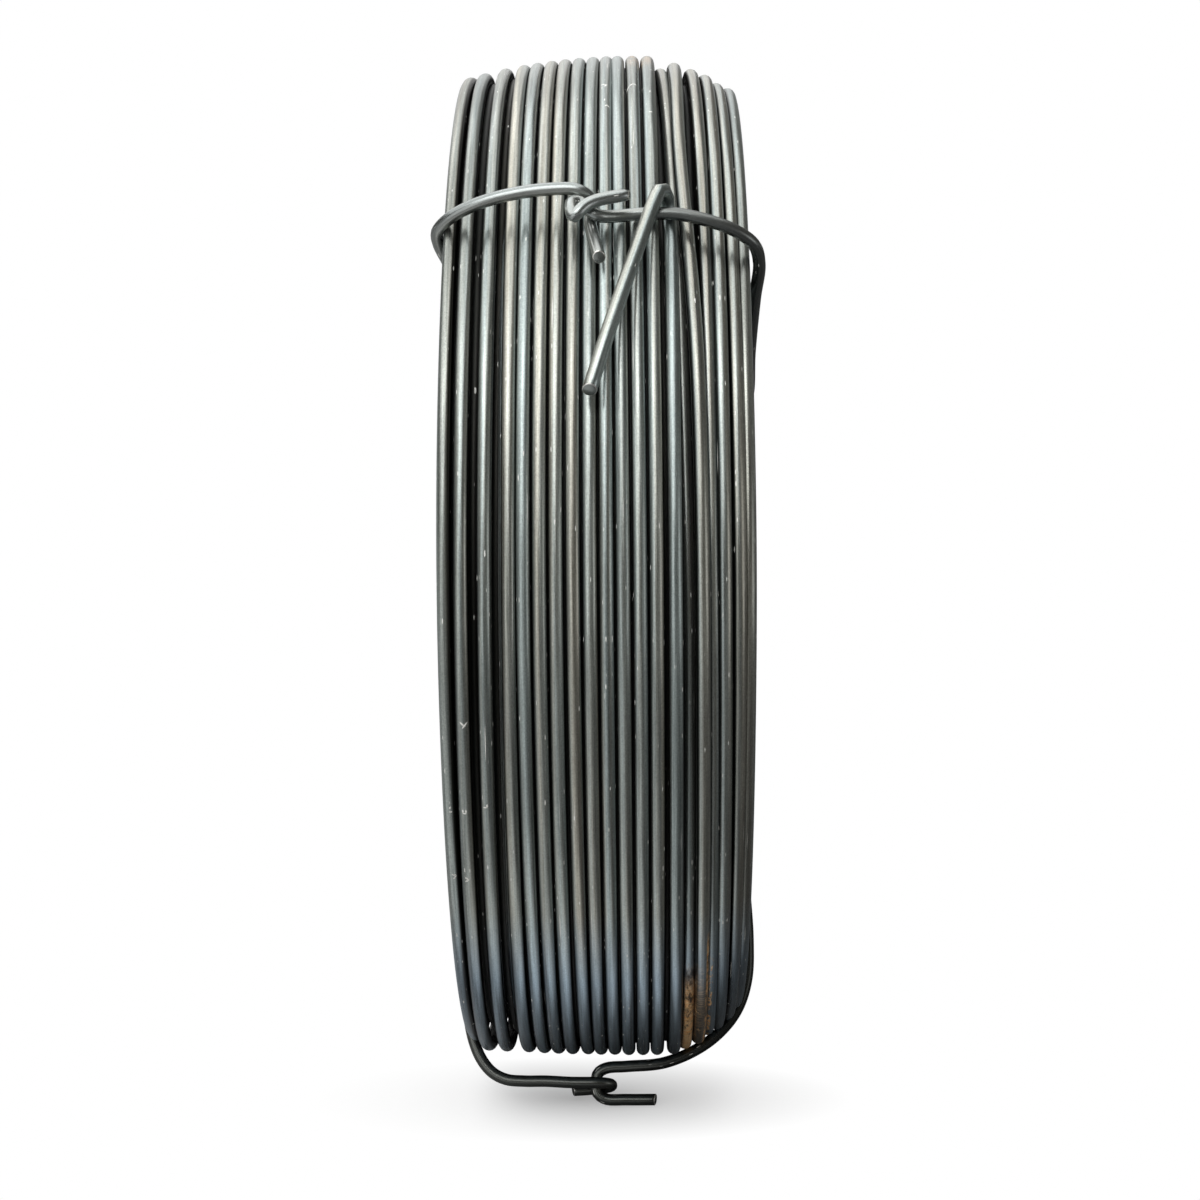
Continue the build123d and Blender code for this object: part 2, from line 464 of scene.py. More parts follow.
# %% [markdown]
# Elsewhere the layer below lies in the hollows of the outer one, halfway between two turns and a little deeper.
# Its places are worked out from the outer turns' rows, so it follows their uneven gaps.
# On the right, where the outer layer ends, a still deeper layer closes the view into the coil.

# %% Layer below
shown_parts = (0.0, front_turn, bottom_turn)
under_drop = 1.45
deep_drop = 3.2
deep_places = [8.6, 10.1, 11.6, 13.1, 14.6]
first_deep_turn = 13

under_stations = []
for index, (row, next_row) in enumerate(zip(outer_turn_rows, outer_turn_rows[1:])):
    for part, place, next_place in zip(shown_parts, row, next_row):
        middle = (place + next_place) / 2
        under_stations.append((index + part, middle, crown(middle) + under_drop))
under_stations += [(12.0, 6.6, 3.4), (12 + front_turn, 7.05, 2.4), (12 + bottom_turn, 7.3, 1.5)]
for index, place in enumerate(deep_places):
    for part in shown_parts:
        under_stations.append((first_deep_turn + index + part, place, crown(place) + deep_drop))
under_turns = wire_piece(
    "under_turns", [wind(under_stations, 130)], wire_diameter * mm, 10, start_length=5.3, outwards=away_from_axis
)

# %% [markdown]
# ## Ends and bore
# A coil's turns show on its ends. Each layer's end turn climbs to the next layer there, so the rings come in pairs:
# one ring, a climb, and the next ring, with both tails going inwards between the turns.
# Each pair starts at another place round the coil, and each ring wanders a little, by random draws that repeat.

# %% End rings
random = np.random.default_rng(7)
inner_steps = 110
inner_ring_steps = 10
bore_radius = 32.0 + wire_diameter / 2
end_dish = 0.7
dished_rings = 15
ring_wander = 0.12
ring_step_in = 0.75
tail_step_in = 1.8
tail_lift = 0.1
left_pitch = (57.6 - bore_radius) / 16
right_pitch = (56.4 - bore_radius) / 15


def ring_pair(side, inner_ring, ring_pitch, outer_x):
    """Two rings of one end, joined by a climb."""
    start = random.uniform(0, 1)
    drops = [highest_radius - (bore_radius + (inner_ring + k) * ring_pitch) for k in range(2)]
    shift = random.uniform(-ring_wander, ring_wander, 4)
    outer_x = outer_x - end_dish * math.sin(math.pi * inner_ring / dished_rings)
    inner_x = outer_x - ring_step_in
    tail_x = inner_x - tail_step_in
    return wind(
        [
            (start - 0.2, side * tail_x, drops[0] + tail_lift),
            (start, side * (outer_x + shift[0]), drops[0]),
            (start + 0.45, side * (outer_x + shift[1]), drops[0]),
            (start + 0.86, side * (outer_x + shift[2]), drops[0]),
            (start + 1.0, side * (inner_x + shift[2]), drops[1]),
            (start + 1.5, side * (inner_x + shift[3]), drops[1]),
            (start + 1.82, side * (inner_x + shift[3]), drops[1]),
            (start + 2.02, side * tail_x, drops[1] - tail_lift),
        ],
        inner_steps,
    )


left_routes = [ring_pair(-1, ring, left_pitch, 14.6) for ring in range(1, 15, 2)]
right_routes = [ring_pair(1, ring, right_pitch, 15.3) for ring in range(1, 14, 2)]
left_end = wire_piece(
    "left_end_turns", left_routes, wire_diameter * mm, inner_ring_steps,
    start_length=9.0, outwards=out_of_left_end,
)
right_end = wire_piece(
    "right_end_turns", right_routes, wire_diameter * mm, inner_ring_steps,
    start_length=12.0, outwards=out_of_right_end,
)

# %% [markdown]
# The bore shows the innermost layer, the first that was wound. Nothing holds it from inside, and the photograph
# doesn't show it, so it is an even helix from one end to the other.

# %% Bore turns
bore_turn_count = 19
bore_first_place = -15.0
bore_last_place = 15.0
bore_span = bore_last_place - bore_first_place
bore_drop = highest_radius - bore_radius

bore_stations = [
    (turn + part, bore_first_place + (turn + part) * bore_span / bore_turn_count, bore_drop)
    for turn in range(bore_turn_count) for part in (0, 0.5)
]
bore_stations.append((bore_turn_count, bore_last_place, bore_drop))
bore_turns = wire_piece(
    "bore_turns", [wind(bore_stations, inner_steps)], wire_diameter * mm, inner_ring_steps,
    start_length=15.0, outwards=out_of_bore,
)

# %% [markdown]
# ## Body of the coil
# The layers between can't be seen, only the dark between the turns. One turned ring fills them, in a nearly black
# finish that paints that shade.
# Its section is drawn as a closed line, which the Spin tool would turn. A Screw modifier does the same here.

# %% Turned body
# The section's points are places along the axis and radii.
body_section = [
    (-14.2, 53.2), (-8.0, 56.0), (3.0, 57.1), (7.6, 56.6), (9.0, 54.8), (14.2, 51.4), (14.2, 33.6), (-14.2, 33.6),
]
body_edges = [(i, (i + 1) % len(body_section)) for i in range(len(body_section))]
body_steps = 128

bpy.ops.object.select_all(action="DESELECT")
section = bpy.data.meshes.new("coil_body")
section.from_pydata([(x * mm, 0, radius * mm) for x, radius in body_section], body_edges, [])
coil_body = bpy.data.objects.new("coil_body", section)
bpy.context.scene.collection.objects.link(coil_body)
bpy.context.view_layer.objects.active = coil_body
coil_body.select_set(True)
turning = coil_body.modifiers.new("turning", "SCREW")
turning.axis = "X"
turning.steps = turning.render_steps = body_steps
turning.use_merge_vertices = True
turning.merge_threshold = 0.01 * mm
bpy.ops.object.modifier_apply(modifier="turning")
bpy.ops.object.mode_set(mode="EDIT")
bpy.ops.mesh.select_all(action="SELECT")
bpy.ops.mesh.normals_make_consistent(inside=False)
bpy.ops.object.mode_set(mode="OBJECT")
print("coil_body faces", len(coil_body.data.polygons))

# %% [markdown]
# ## Front tie
# A tie is one thinner wire that goes round the coil's section through the bore, with its two ends tied in front.
# The front tie's left wire comes over the turns, bends down and ends in a short leg. Its right wire passes in front
# of that leg and up beside the left run. There it turns sharply down, and comes back over its own front to the right.

# %% Front tie
tie_diameter = 1.4
tie_step = 0.45 * mm
tie_ring_steps = 16
worn_end_shares = (0.97, 0.9, 0.7)
front_tie_leg = [
    (0.21, -8.55, 0.95), (-0.13, -6.9, 0.9), (-0.5, -5.05, 0.85), (-0.75, -3.4, 0.82), (-0.62, -2.4, 0.85),
    (-0.5, -1.6, 1.1), (-0.6, -1.0, 1.6), (-0.98, -0.75, 2.2), (-1.68, -0.6, 2.7), (-2.5, -0.4, 2.9),
]
front_tie_round_coil = [
    (-4.0, -0.3, 2.85), (-7.0, -0.25, 2.5), (-10.5, -0.5, 1.85), (-13.6, -0.8, 0.75), (-16.05, -1.0, -0.95),
    (-17.3, -1.1, -2.75), (-17.2, -1.1, -4.8), (-16.3, -1.05, -8.0), (-16.1, -1.0, -12.0), (-16.3, -0.7, -20.0),
    (-16.8, -0.4, -27.3), (-16.3, -0.3, -29.3), (-15.0, -0.3, -29.93), (0.0, -1.3, -29.95),
    (15.0, -2.9, -29.93), (16.3, -2.95, -29.3), (16.8, -2.95, -27.3), (16.8, -3.1, -20.0), (17.1, -3.3, -11.0),
    (17.41, -3.4, -5.4), (16.7, -3.3, -2.6), (14.5, -2.95, -0.8), (11.5, -2.5, 0.25), (8.5, -2.1, 0.75),
]
front_tie_loop = [
    (5.0, -2.1, 0.82), (3.0, -2.4, 0.9), (1.4, -2.95, 1.3), (0.3, -3.4, 1.85), (-0.34, -3.4, 2.15),
    (-0.85, -2.85, 2.2), (-1.3, -2.2, 2.25), (-1.75, -1.83, 2.35), (-2.25, -1.78, 2.5), (-2.65, -2.05, 2.65),
    (-2.74, -2.9, 2.9), (-2.68, -4.0, 3.15), (-2.5, -4.9, 3.3), (-2.2, -4.85, 3.5), (-1.75, -4.35, 3.7),
    (-1.2, -3.75, 3.78), (-0.13, -3.05, 3.77), (1.37, -2.5, 3.7), (2.97, -2.1, 3.6), (3.4, -2.05, 3.58),
]
front_tie_line = bend(front_tie_leg + front_tie_round_coil + front_tie_loop)
front_tie = wire_piece(
    "front_tie_wire", [resample(at_tie(front_tie_angle, front_tie_line), tie_step)], tie_diameter * mm,
    tie_ring_steps, start_length=20.0, slant=0.4, end_shares=worn_end_shares,
)

# %% [markdown]
# ## Bottom and back ties
# The bottom tie ends in two hooks that hold each other, and hangs off the turns, because the coil stands above it.
# The right hook opens outwards, and the left one goes round it. The back tie isn't seen in the photograph.
# It is the same wire a third of a round further on, so one line serves for both.

# %% Bottom and back ties
hooked_right_knot = [
    (6.0, 0.0, 5.27), (2.5, 0.0, 5.27), (0.0, 0.0, 5.18), (-0.95, 0.0, 4.5), (-1.1, 0.0, 3.3), (-0.9, 0.0, 2.1),
    (0.1, 0.0, 1.5), (2.6, 0.0, 1.3),
]
hooked_round_coil = [
    (7.1, 0.0, 0.88), (11.3, 0.0, -0.85), (14.2, 0.0, -3.1), (16.1, 0.0, -5.7), (17.2, 0.0, -9.2),
    (17.4, 0.0, -14.0), (17.0, 0.0, -21.0), (16.8, 0.0, -27.3), (16.3, 0.0, -29.3), (15.0, 0.0, -29.93),
    (0.0, 0.0, -29.95), (-15.0, 0.0, -29.93), (-16.3, 0.0, -29.3), (-16.8, 0.0, -27.3), (-16.8, 0.0, -19.0),
    (-16.9, 0.0, -10.0), (-16.55, 0.0, -5.0), (-16.25, 0.0, -3.1), (-15.8, 0.0, -1.4), (-15.0, 0.1, 0.4),
    (-13.7, 0.25, 1.95), (-12.0, 0.45, 2.8), (-9.8, 0.7, 3.0),
]
hooked_left_knot = [
    (-7.2, 1.05, 3.0), (-4.2, 1.4, 3.15), (-0.6, 1.45, 3.2), (0.5, 0.9, 3.35), (0.75, 0.0, 3.55),
    (0.5, -0.95, 3.75), (-0.6, -1.45, 3.95), (-2.2, -1.5, 4.1), (-3.9, -1.5, 4.2),
]
hooked_line = bend(hooked_right_knot + hooked_round_coil + hooked_left_knot)
bottom_tie = wire_piece(
    "bottom_tie_wire", [resample(at_tie(bottom_tie_angle, hooked_line), tie_step)], tie_diameter * mm,
    tie_ring_steps, start_length=24.0, slant=0.25,
)
back_tie = wire_piece(
    "back_tie_wire", [resample(at_tie(back_tie_angle, hooked_line), tie_step)], tie_diameter * mm,
    tie_ring_steps, start_length=28.0, slant=0.25,
)

# %% [markdown]
# ## Shader nodes
# The finish holds no picture: every mark on it comes from noise, or from a place on the wire.
# In the Shader Editor each call below would be one node, added and linked by hand.
# These helpers add a node, set its values and link it, so that the finish can be read as a list of sums.

# %% Adding a node
def give(tree, socket, value):
    """Link a socket to another one, or set its value."""
    if isinstance(value, bpy.types.NodeSocket):
        tree.links.new(value, socket)
    else:
        socket.default_value = value


def node(tree, kind, settings=None, **inputs):
    """A shader node with its settings and inputs. An input is named, or numbered as i0, i1 and so on."""
    made = tree.nodes.new(kind)
    for name, value in (settings or {}).items():
        setattr(made, name, value)
    for name, value in inputs.items():
        numbered = name[0] == "i" and name[1:].isdigit()
        give(tree, made.inputs[int(name[1:]) if numbered else name], value)
    return made


# %% [markdown]
# Most of the finish is sums of shares between 0 and 1. Multiplying shares keeps what lies in all of them,
# and the largest of some shares keeps what lies in any of them.
# Map Range turns a place or a noise into such a share, with a soft edge.

# %% Sums of shares
def math_node(tree, operation, first, second):
    """One sum."""
    return node(tree, "ShaderNodeMath", {"operation": operation}, i0=first, i1=second).outputs[0]


def product(tree, first, *others):
    """Some values multiplied."""
    for other in others:
        first = math_node(tree, "MULTIPLY", first, other)
    return first


def largest(tree, first, *others):
    """The largest of some values."""
    for other in others:
        first = math_node(tree, "MAXIMUM", first, other)
    return first


def length_of(tree, vector):
    """How long a vector is."""
    return node(tree, "ShaderNodeVectorMath", {"operation": "LENGTH"}, i0=vector).outputs["Value"]


def remap(tree, value, low, high, to_low=0.0, to_high=1.0):
    """Stretch a range of values to another, and hold it at the ends."""
    made = node(tree, "ShaderNodeMapRange", None, i0=value, i1=low, i2=high, i3=to_low, i4=to_high)
    return made.outputs[0]


def band(tree, value, start, full, fading, end):
    """A share that is 1 between two values and eases to 0 outside them."""
    return product(tree, remap(tree, value, start, full), remap(tree, value, end, fading))


# %% [markdown]
# A colour is either mixed with another, as paint would be, or made lighter and darker as a whole.
# The second keeps its hue, so it serves for streaks and dirt.

# %% Colours
def mix_colour(tree, share, first, second):
    """Mix two colours."""
    return node(tree, "ShaderNodeMix", {"data_type": "RGBA"}, i0=share, i6=first, i7=second).outputs[2]


def scaled(tree, colour, share):
    """A colour made lighter or darker."""
    return node(tree, "ShaderNodeVectorMath", {"operation": "SCALE"}, i0=colour, Scale=share).outputs[0]


# %% [markdown]
# ## Patterns along a wire
# Drawing a wire through its die pulls every flaw out along it. So the noise is stretched along the wire's length,
# and its other two directions go round the wire, where it closes without a seam.
# Nicks are cells of a Voronoi pattern, of which only a few are chosen.

# %% Patterns along a wire
def read_wire(tree):
    """What a finish reads of its wire: the marks that its mesh carries, and the place on the coil."""
    place = node(tree, "ShaderNodeTexCoord").outputs["Object"]
    across, depth, height = node(tree, "ShaderNodeSeparateXYZ", None, Vector=place).outputs
    read = {"place": place, "across": across, "depth": depth, "height": height}
    for name, output in (("along_wire", "Vector"), ("groove", "Fac"), ("cut", "Fac")):
        read[name] = node(tree, "ShaderNodeAttribute", {"attribute_name": name}).outputs[output]
    return read


def stretched_noise(tree, place, scale, detail, roughness, tilt=0.0):
    """Noise that is stretched, and can be turned in its plane."""
    stretched = node(tree, "ShaderNodeMapping", None, Vector=place, Rotation=(0, 0, tilt), Scale=scale).outputs[0]
    noise = node(tree, "ShaderNodeTexNoise", None, Vector=stretched, Scale=1.0, Detail=detail, Roughness=roughness)
    return noise.outputs["Fac"]


def wire_noise(tree, marks, along, across, detail, roughness=0.55):
    """Noise drawn out along the wire."""
    return stretched_noise(tree, marks, (along, across, across), detail, roughness)


def scattered(tree, marks, along, across, chosen_from, size):
    """Marks strewn over the wire: cells of a Voronoi pattern, of which a few are chosen."""
    stretched = node(tree, "ShaderNodeMapping", None, Vector=marks, Scale=(along, across, across)).outputs[0]
    cells = node(tree, "ShaderNodeTexVoronoi", None, Vector=stretched, Scale=1.0)
    chance = node(tree, "ShaderNodeSeparateColor", None, Color=cells.outputs["Color"]).outputs[0]
    chosen = remap(tree, chance, chosen_from, chosen_from + 0.004)
    return product(tree, chosen, remap(tree, cells.outputs["Distance"], size, size * 0.6))


# %% [markdown]
# ## Annealed scale
# Annealing leaves a thin dark scale on the steel. Some lengths are cooler in colour and some warmer.
# Low in front the turns are painted bluer and darker, as painted shade. Four noises, from broad to grainy, make it
# lighter and darker.
# The upper left turns, and the right side of the ties, are darker by painted shade. The grooves between the turns get
# painted shade and go nearly black.

# %% Colour of the scale
tint_range = (0.45, 0.64)
noise_range = (0.3, 0.7)
low_shade_heights = (-23 * mm, -34 * mm)
low_shade_depths = (0.0, -10 * mm)
right_shade_places = (4 * mm, 7.5 * mm)
left_places = (-9 * mm, -14.5 * mm)
upper_heights = (36 * mm, 52 * mm)
upper_left_shade_share = 0.75
low_groove_shade = 0.2
groove_shade_range = (0.4, 0.7)
groove_shade_share = 0.06


def scale_colour(tree, read, cool, warm, lower, mottle, right_shade_share):
    """Colour of the annealed scale with its painted shade, with the broad noise that sets its sheen and the fine one
    that roughens it.
    """
    marks = read["along_wire"]
    length_tint = wire_noise(tree, marks, 3.1, 0.25, 1.5)
    streak_tint = wire_noise(tree, marks, 9.0, 1.4, 2.0)
    tint = math_node(tree, "ADD", product(tree, length_tint, 0.62), product(tree, streak_tint, 0.38))
    colour = mix_colour(tree, remap(tree, tint, *tint_range), cool, warm)
    # Painted shade: low in front the colour turns to the low colour, bluer and darker on the coil and nearly black on
    # the ties.
    low = product(tree, remap(tree, read["height"], *low_shade_heights), remap(tree, read["depth"], *low_shade_depths))
    colour = mix_colour(tree, low, colour, lower)

    broad = wire_noise(tree, marks, 14.0, 1.1, 2.0)
    middle = wire_noise(tree, marks, 60.0, 2.2, 2.0)
    fine = wire_noise(tree, marks, 170.0, 8.0, 3.0, 0.6)
    grain = wire_noise(tree, marks, 5500.0, 4.5, 1.0)
    for noise, spread in ((broad, 0.26), (middle, 0.22), (fine, 0.2), (grain, 0.14)):
        spread *= mottle
        colour = scaled(tree, colour, remap(tree, noise, *noise_range, 1 - spread, 1 + spread))

    # Painted shade: to the right of the middle the colour darkens by the given share, which on the ties is to the right
    # of the free end.
    colour = scaled(tree, colour, remap(tree, read["across"], *right_shade_places, 1.0, right_shade_share))
    # Painted shade: the upper left turns are darker.
    upper_left_shade = product(tree, remap(tree, read["across"], *left_places), remap(tree, read["height"], *upper_heights))
    colour = scaled(tree, colour, remap(tree, upper_left_shade, 0.0, 1.0, 1.0, upper_left_shade_share))
    # Painted shade: the grooves between the turns go nearly black, and more so low in front.
    groove_shade = math_node(tree, "ADD", read["groove"], product(tree, low, low_groove_shade))
    colour = scaled(tree, colour, remap(tree, groove_shade, *groove_shade_range, 1.0, groove_shade_share))
    return colour, broad, fine


# %% [markdown]
# ## Nicks and cut metal
# Handling knocks small pale nicks into the scale: specks, dots and short scratches, on some lengths more than others.
# A cut face is bare grey steel, and its sheared edge is brighter.

# %% Nicks and cut metal
nick_colour = (0.8, 0.8, 0.76, 1)
cut_edge_colour = (0.7, 0.69, 0.66, 1)
cut_face_colour = (0.24, 0.26, 0.25, 1)


def pale_nicks(tree, marks):
    """Share of the wire's surface that is knocked."""
    specks = scattered(tree, marks, 500.0, 1.8, 0.955, 0.22)
    dots = scattered(tree, marks, 800.0, 3.0, 0.93, 0.28)
    scratches = scattered(tree, marks, 130.0, 4.5, 0.975, 0.3)
    knocked_lengths = remap(tree, wire_noise(tree, marks, 30.0, 0.9, 2.0), 0.43, 0.53)
    return product(tree, largest(tree, specks, dots, scratches), knocked_lengths)


def with_cut_ends(tree, colour, cut):
    """The wire's colour, with cut metal at its ends."""
    cut_colour = mix_colour(tree, remap(tree, cut, 0.6, 0.9), cut_edge_colour, cut_face_colour)
    return mix_colour(tree, remap(tree, cut, 0.1, 0.4), colour, cut_colour)


# %% [markdown]
# ## Chalky strokes
# The photograph shows some larger pale strokes in certain places, where the coil was knocked across its turns.
# By hand they would be painted. Here the outer face is laid out flat, along the axis and round the coil,
# and each stroke is a stretched spot on it with its own place, length and tilt.

# %% Chalky strokes
chalk_colour = (0.85, 0.84, 0.8, 1)
stroke_half_width = 0.1 * mm
stroke_fade = (1.15, 0.6)
outer_face_radii = (56.0 * mm, 56.5 * mm)
# Each stroke: millimetres along the axis, degrees from the front upwards, length in millimetres and tilt in degrees.
chalk_strokes = [
    (3.25, 78.4, 1.3, 72), (3.7, 79.1, 0.85, 40), (4.1, 79.1, 0.6, -56), (0.5, 79.3, 0.8, -27), (0.77, 78.9, 0.8, 70),
    (0.85, 73.4, 0.5, 55), (1.1, 73.3, 0.55, -45), (6.0, 84.9, 0.35, 0), (5.0, 78.6, 0.35, 0), (5.85, 71.8, 0.4, 0),
    (-14.35, 0.35, 0.65, -49), (-14.05, 0.2, 0.95, 53), (-15.9, -9.3, 0.35, 70), (-15.85, -9.8, 0.35, 0),
    (-14.5, -9.4, 0.45, 90), (-14.33, -9.65, 0.45, 0), (-14.17, -9.4, 0.5, 90), (-12.1, -8.8, 0.5, 15),
    (-11.9, -8.6, 0.4, 90), (-15.8, -17.9, 0.55, -14), (-15.7, -18.25, 0.65, 61), (-14.35, -17.85, 0.6, -40),
    (-14.33, -18.15, 0.55, 41),
]


def lay_flat(tree, read):
    """The angle round the coil, the place on the flat outer face, and a share that is 1 on that face alone."""
    angle = math_node(tree, "ARCTAN2", read["height"], product(tree, read["depth"], -1.0))
    round_coil = product(tree, angle, coil_radius * mm)
    flat = node(tree, "ShaderNodeCombineXYZ", None, X=read["across"], Y=round_coil).outputs[0]
    from_axis = node(tree, "ShaderNodeVectorMath", {"operation": "MULTIPLY"}, i0=read["place"], i1=(0.0, 1.0, 1.0))
    radius = length_of(tree, from_axis.outputs[0])
    return angle, flat, remap(tree, radius, *outer_face_radii)


def strokes(tree, flat):
    """Share of the flat outer face that the chalky strokes cover."""
    total = 0.0
    for x, degrees, length, tilt in chalk_strokes:
        turned = node(
            tree, "ShaderNodeMapping", {"vector_type": "TEXTURE"}, Vector=flat,
            Location=(x * mm, math.radians(degrees) * coil_radius * mm, 0),
            Rotation=(0, 0, math.radians(tilt)), Scale=(length / 2 * mm, stroke_half_width, 1),
        ).outputs[0]
        total = largest(tree, remap(tree, length_of(tree, turned), *stroke_fade), total)
    return total


print("chalky strokes", len(chalk_strokes))

# %% [markdown]
# ## Rust
# Low on the right of the front, damp has rusted two turns. A thin brown film lies on the scale, with scraped places.
# Along the film's right edge, on the sliver of wire to its left and on the next turn the rust is thick and orange.
# A last faint film is at the top of the coil. Each is a strip along the axis with a ragged end round the coil.

# %% Rust
film_strip = np.array([10.3, 10.55, 11.8, 12.1]) * mm
edge_strip = np.array([11.52, 11.64, 11.78, 11.9]) * mm
sliver_strip = np.array([9.0, 9.3, 10.2, 10.4]) * mm
next_strip = np.array([11.9, 12.0, 12.3, 12.45]) * mm
top_strip = np.array([3.0, 3.6, 5.9, 6.3]) * mm
top_angles = (1.5, 1.58, 1.7, 1.78)
lowest_angles = (-1.55, -1.3)
ragged_depth = 0.3
film_strength = 0.8
top_film_strength = 0.75
film_dark, film_light = (0.13, 0.1, 0.07, 1), (0.62, 0.45, 0.28, 1)
top_film_colour = (0.42, 0.31, 0.2, 1)
rust_dark, rust_orange, rust_tan = (0.05, 0.03, 0.016, 1), (1.0, 0.5, 0.16, 1), (1.0, 0.74, 0.44, 1)


def with_rust(tree, colour, across, angle, flat, outer_face):
    """The wire's colour with its rust, and the share of the surface that is thick rust."""
    flakes = stretched_noise(tree, flat, (1500.0, 340.0, 1.0), 4.0, 0.7)
    scrapes = stretched_noise(tree, flat, (700.0, 3600.0, 1.0), 3.0, 0.6, tilt=0.6)
    ragged = math_node(tree, "ADD", angle, product(tree, flakes, ragged_depth))
    rusty_place = product(tree, outer_face, remap(tree, ragged, *lowest_angles))

    film = product(tree, rusty_place, band(tree, across, *film_strip), remap(tree, ragged, -0.4, -0.56))
    film_colour = mix_colour(tree, remap(tree, scrapes, 0.42, 0.62), film_dark, film_light)
    colour = mix_colour(tree, product(tree, film, film_strength), colour, film_colour)
    top_film = product(
        tree, band(tree, across, *top_strip), band(tree, angle, *top_angles), outer_face, remap(tree, flakes, 0.4, 0.52)
    )
    colour = mix_colour(tree, product(tree, top_film, top_film_strength), colour, top_film_colour)

    edge_line = product(
        tree, band(tree, across, *edge_strip), remap(tree, angle, -0.46, -0.5), remap(tree, flakes, 0.36, 0.46)
    )
    sliver = product(tree, band(tree, across, *sliver_strip), remap(tree, ragged, -0.4, -0.5))
    next_line = product(
        tree, band(tree, across, *next_strip), remap(tree, ragged, -0.36, -0.44), remap(tree, flakes, 0.5, 0.56)
    )
    patches = product(tree, film, remap(tree, flakes, 0.58, 0.64))
    rust = product(tree, largest(tree, edge_line, sliver, next_line, patches), rusty_place)

    scraped_rust = mix_colour(tree, remap(tree, scrapes, 0.4, 0.6), rust_orange, rust_tan)
    light = math_node(tree, "ADD", flakes, remap(tree, angle, -0.6, -0.95, -0.07, 0.07))
    rust_colour = mix_colour(tree, remap(tree, light, 0.37, 0.53), rust_dark, scraped_rust)
    return mix_colour(tree, rust, colour, rust_colour), rust


# %% [markdown]
# ## Finish of the wires
# The steps above make one finish, which shines dully like metal. Rust and nicks are less metallic and rougher,
# and a very small bump follows the fine noise.
# The coil's wire has it with the strokes and rust, and the ties without. What lies deep between the turns gets a nearly
# black copy of it, as painted shade.

# %% Finish of the wires
full_metal = 0.9
rust_metal_loss, nick_metal_loss = 0.35, 0.85
rust_roughness, nick_roughness = 0.5, 0.8
bump_strength = 0.3
bump_distance = 0.03 * mm


def wire_finish(name, cool, warm, lower, roughness, mottle=1.0, right_shade_share=1.0, rusted=False):
    """Annealed steel wire: streaks along it, cool and warm lengths, painted shade in the grooves and low down, pale
    nicks and some rust.
    """
    material = bpy.data.materials.new(name)
    material.use_nodes = True
    tree = material.node_tree
    shader = tree.nodes["Principled BSDF"]
    read = read_wire(tree)
    colour, broad, fine = scale_colour(tree, read, cool, warm, lower, mottle, right_shade_share)
    nicks = pale_nicks(tree, read["along_wire"])
    colour = with_cut_ends(tree, mix_colour(tree, nicks, colour, nick_colour), read["cut"])
    rust = 0.0
    if rusted:
        angle, flat, outer_face = lay_flat(tree, read)
        chalk = product(tree, strokes(tree, flat), outer_face)
        nicks = largest(tree, nicks, chalk)
        colour = mix_colour(tree, chalk, colour, chalk_colour)
        colour, rust = with_rust(tree, colour, read["across"], angle, flat, outer_face)

    lost_metal = largest(tree, product(tree, rust, rust_metal_loss), product(tree, nicks, nick_metal_loss))
    sheen = remap(tree, broad, *noise_range, roughness - 0.05, roughness + 0.08)
    dull = largest(tree, product(tree, rust, rust_roughness), product(tree, nicks, nick_roughness))
    bump = node(tree, "ShaderNodeBump", None, Strength=bump_strength, Distance=bump_distance, Height=fine)
    give(tree, shader.inputs["Base Color"], colour)
    give(tree, shader.inputs["Metallic"], math_node(tree, "SUBTRACT", full_metal, lost_metal))
    give(tree, shader.inputs["Roughness"], largest(tree, sheen, dull))
    give(tree, shader.inputs["Normal"], bump.outputs[0])
    print(name, "nodes", len(tree.nodes))
    return material


annealed_wire = wire_finish(
    "annealed_wire", cool=(0.272, 0.312, 0.306, 1), warm=(0.314, 0.306, 0.265, 1), lower=(0.235, 0.3, 0.35, 1),
    roughness=0.3, rusted=True,
)
# On the ties, the dark low colour and the darker right side are painted shade.
tie_wire = wire_finish(
    "tie_wire", cool=(0.31, 0.335, 0.33, 1), warm=(0.33, 0.338, 0.315, 1), lower=(0.1, 0.105, 0.098, 1),
    roughness=0.27, mottle=0.6, right_shade_share=0.48,
)
# A nearly black copy of the finish: painted shade for what lies deep between the turns.
shaded_wire = wire_finish(
    "shaded_wire", cool=(0.02, 0.022, 0.022, 1), warm=(0.025, 0.024, 0.02, 1), lower=(0.02, 0.021, 0.022, 1),
    roughness=0.5,
)

# %% [markdown]
# ## Pieces and their nodes
# Each piece gets its finish, and the CAD part that it stands for is hidden. Nothing on the coil moves by itself,
# so every piece rides on the one body.

# %% Pieces and their nodes
coil_pieces = [
    outer_turns, last_turns, lower_right, gap_turn, under_turns, left_end, right_end, bore_turns, coil_body,
]
# The layer below and the body get the nearly black finish, as painted shade.
for piece in coil_pieces:
    piece.data.materials.append(shaded_wire if piece in (under_turns, coil_body) else annealed_wire)
    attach(piece, "root")
    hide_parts("wire_coil")
for piece, cad_name in ((front_tie, "front_tie"), (bottom_tie, "bottom_tie"), (back_tie, "back_tie")):
    piece.data.materials.append(tie_wire)
    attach(piece, "root")
    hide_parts(cad_name)
print("coil pieces", [piece.name for piece in coil_pieces])

# %% [markdown]
# ## Floor
# In the photograph the coil stands on pure white, with a soft grey shadow below it. Light Path lets one floor do
# both jobs: the camera sees it white, and the wires see what a studio would show them.
# To the light its colour is paler on the left and darker on the right: painted shade, for light that falls off towards
# the right.

# %% Floor
floor_height = -61 * mm
floor_size = 12
paper_colour = (0.75, 0.75, 0.75, 1)
no_colour = (0, 0, 0, 1)
white = (1, 1, 1, 1)

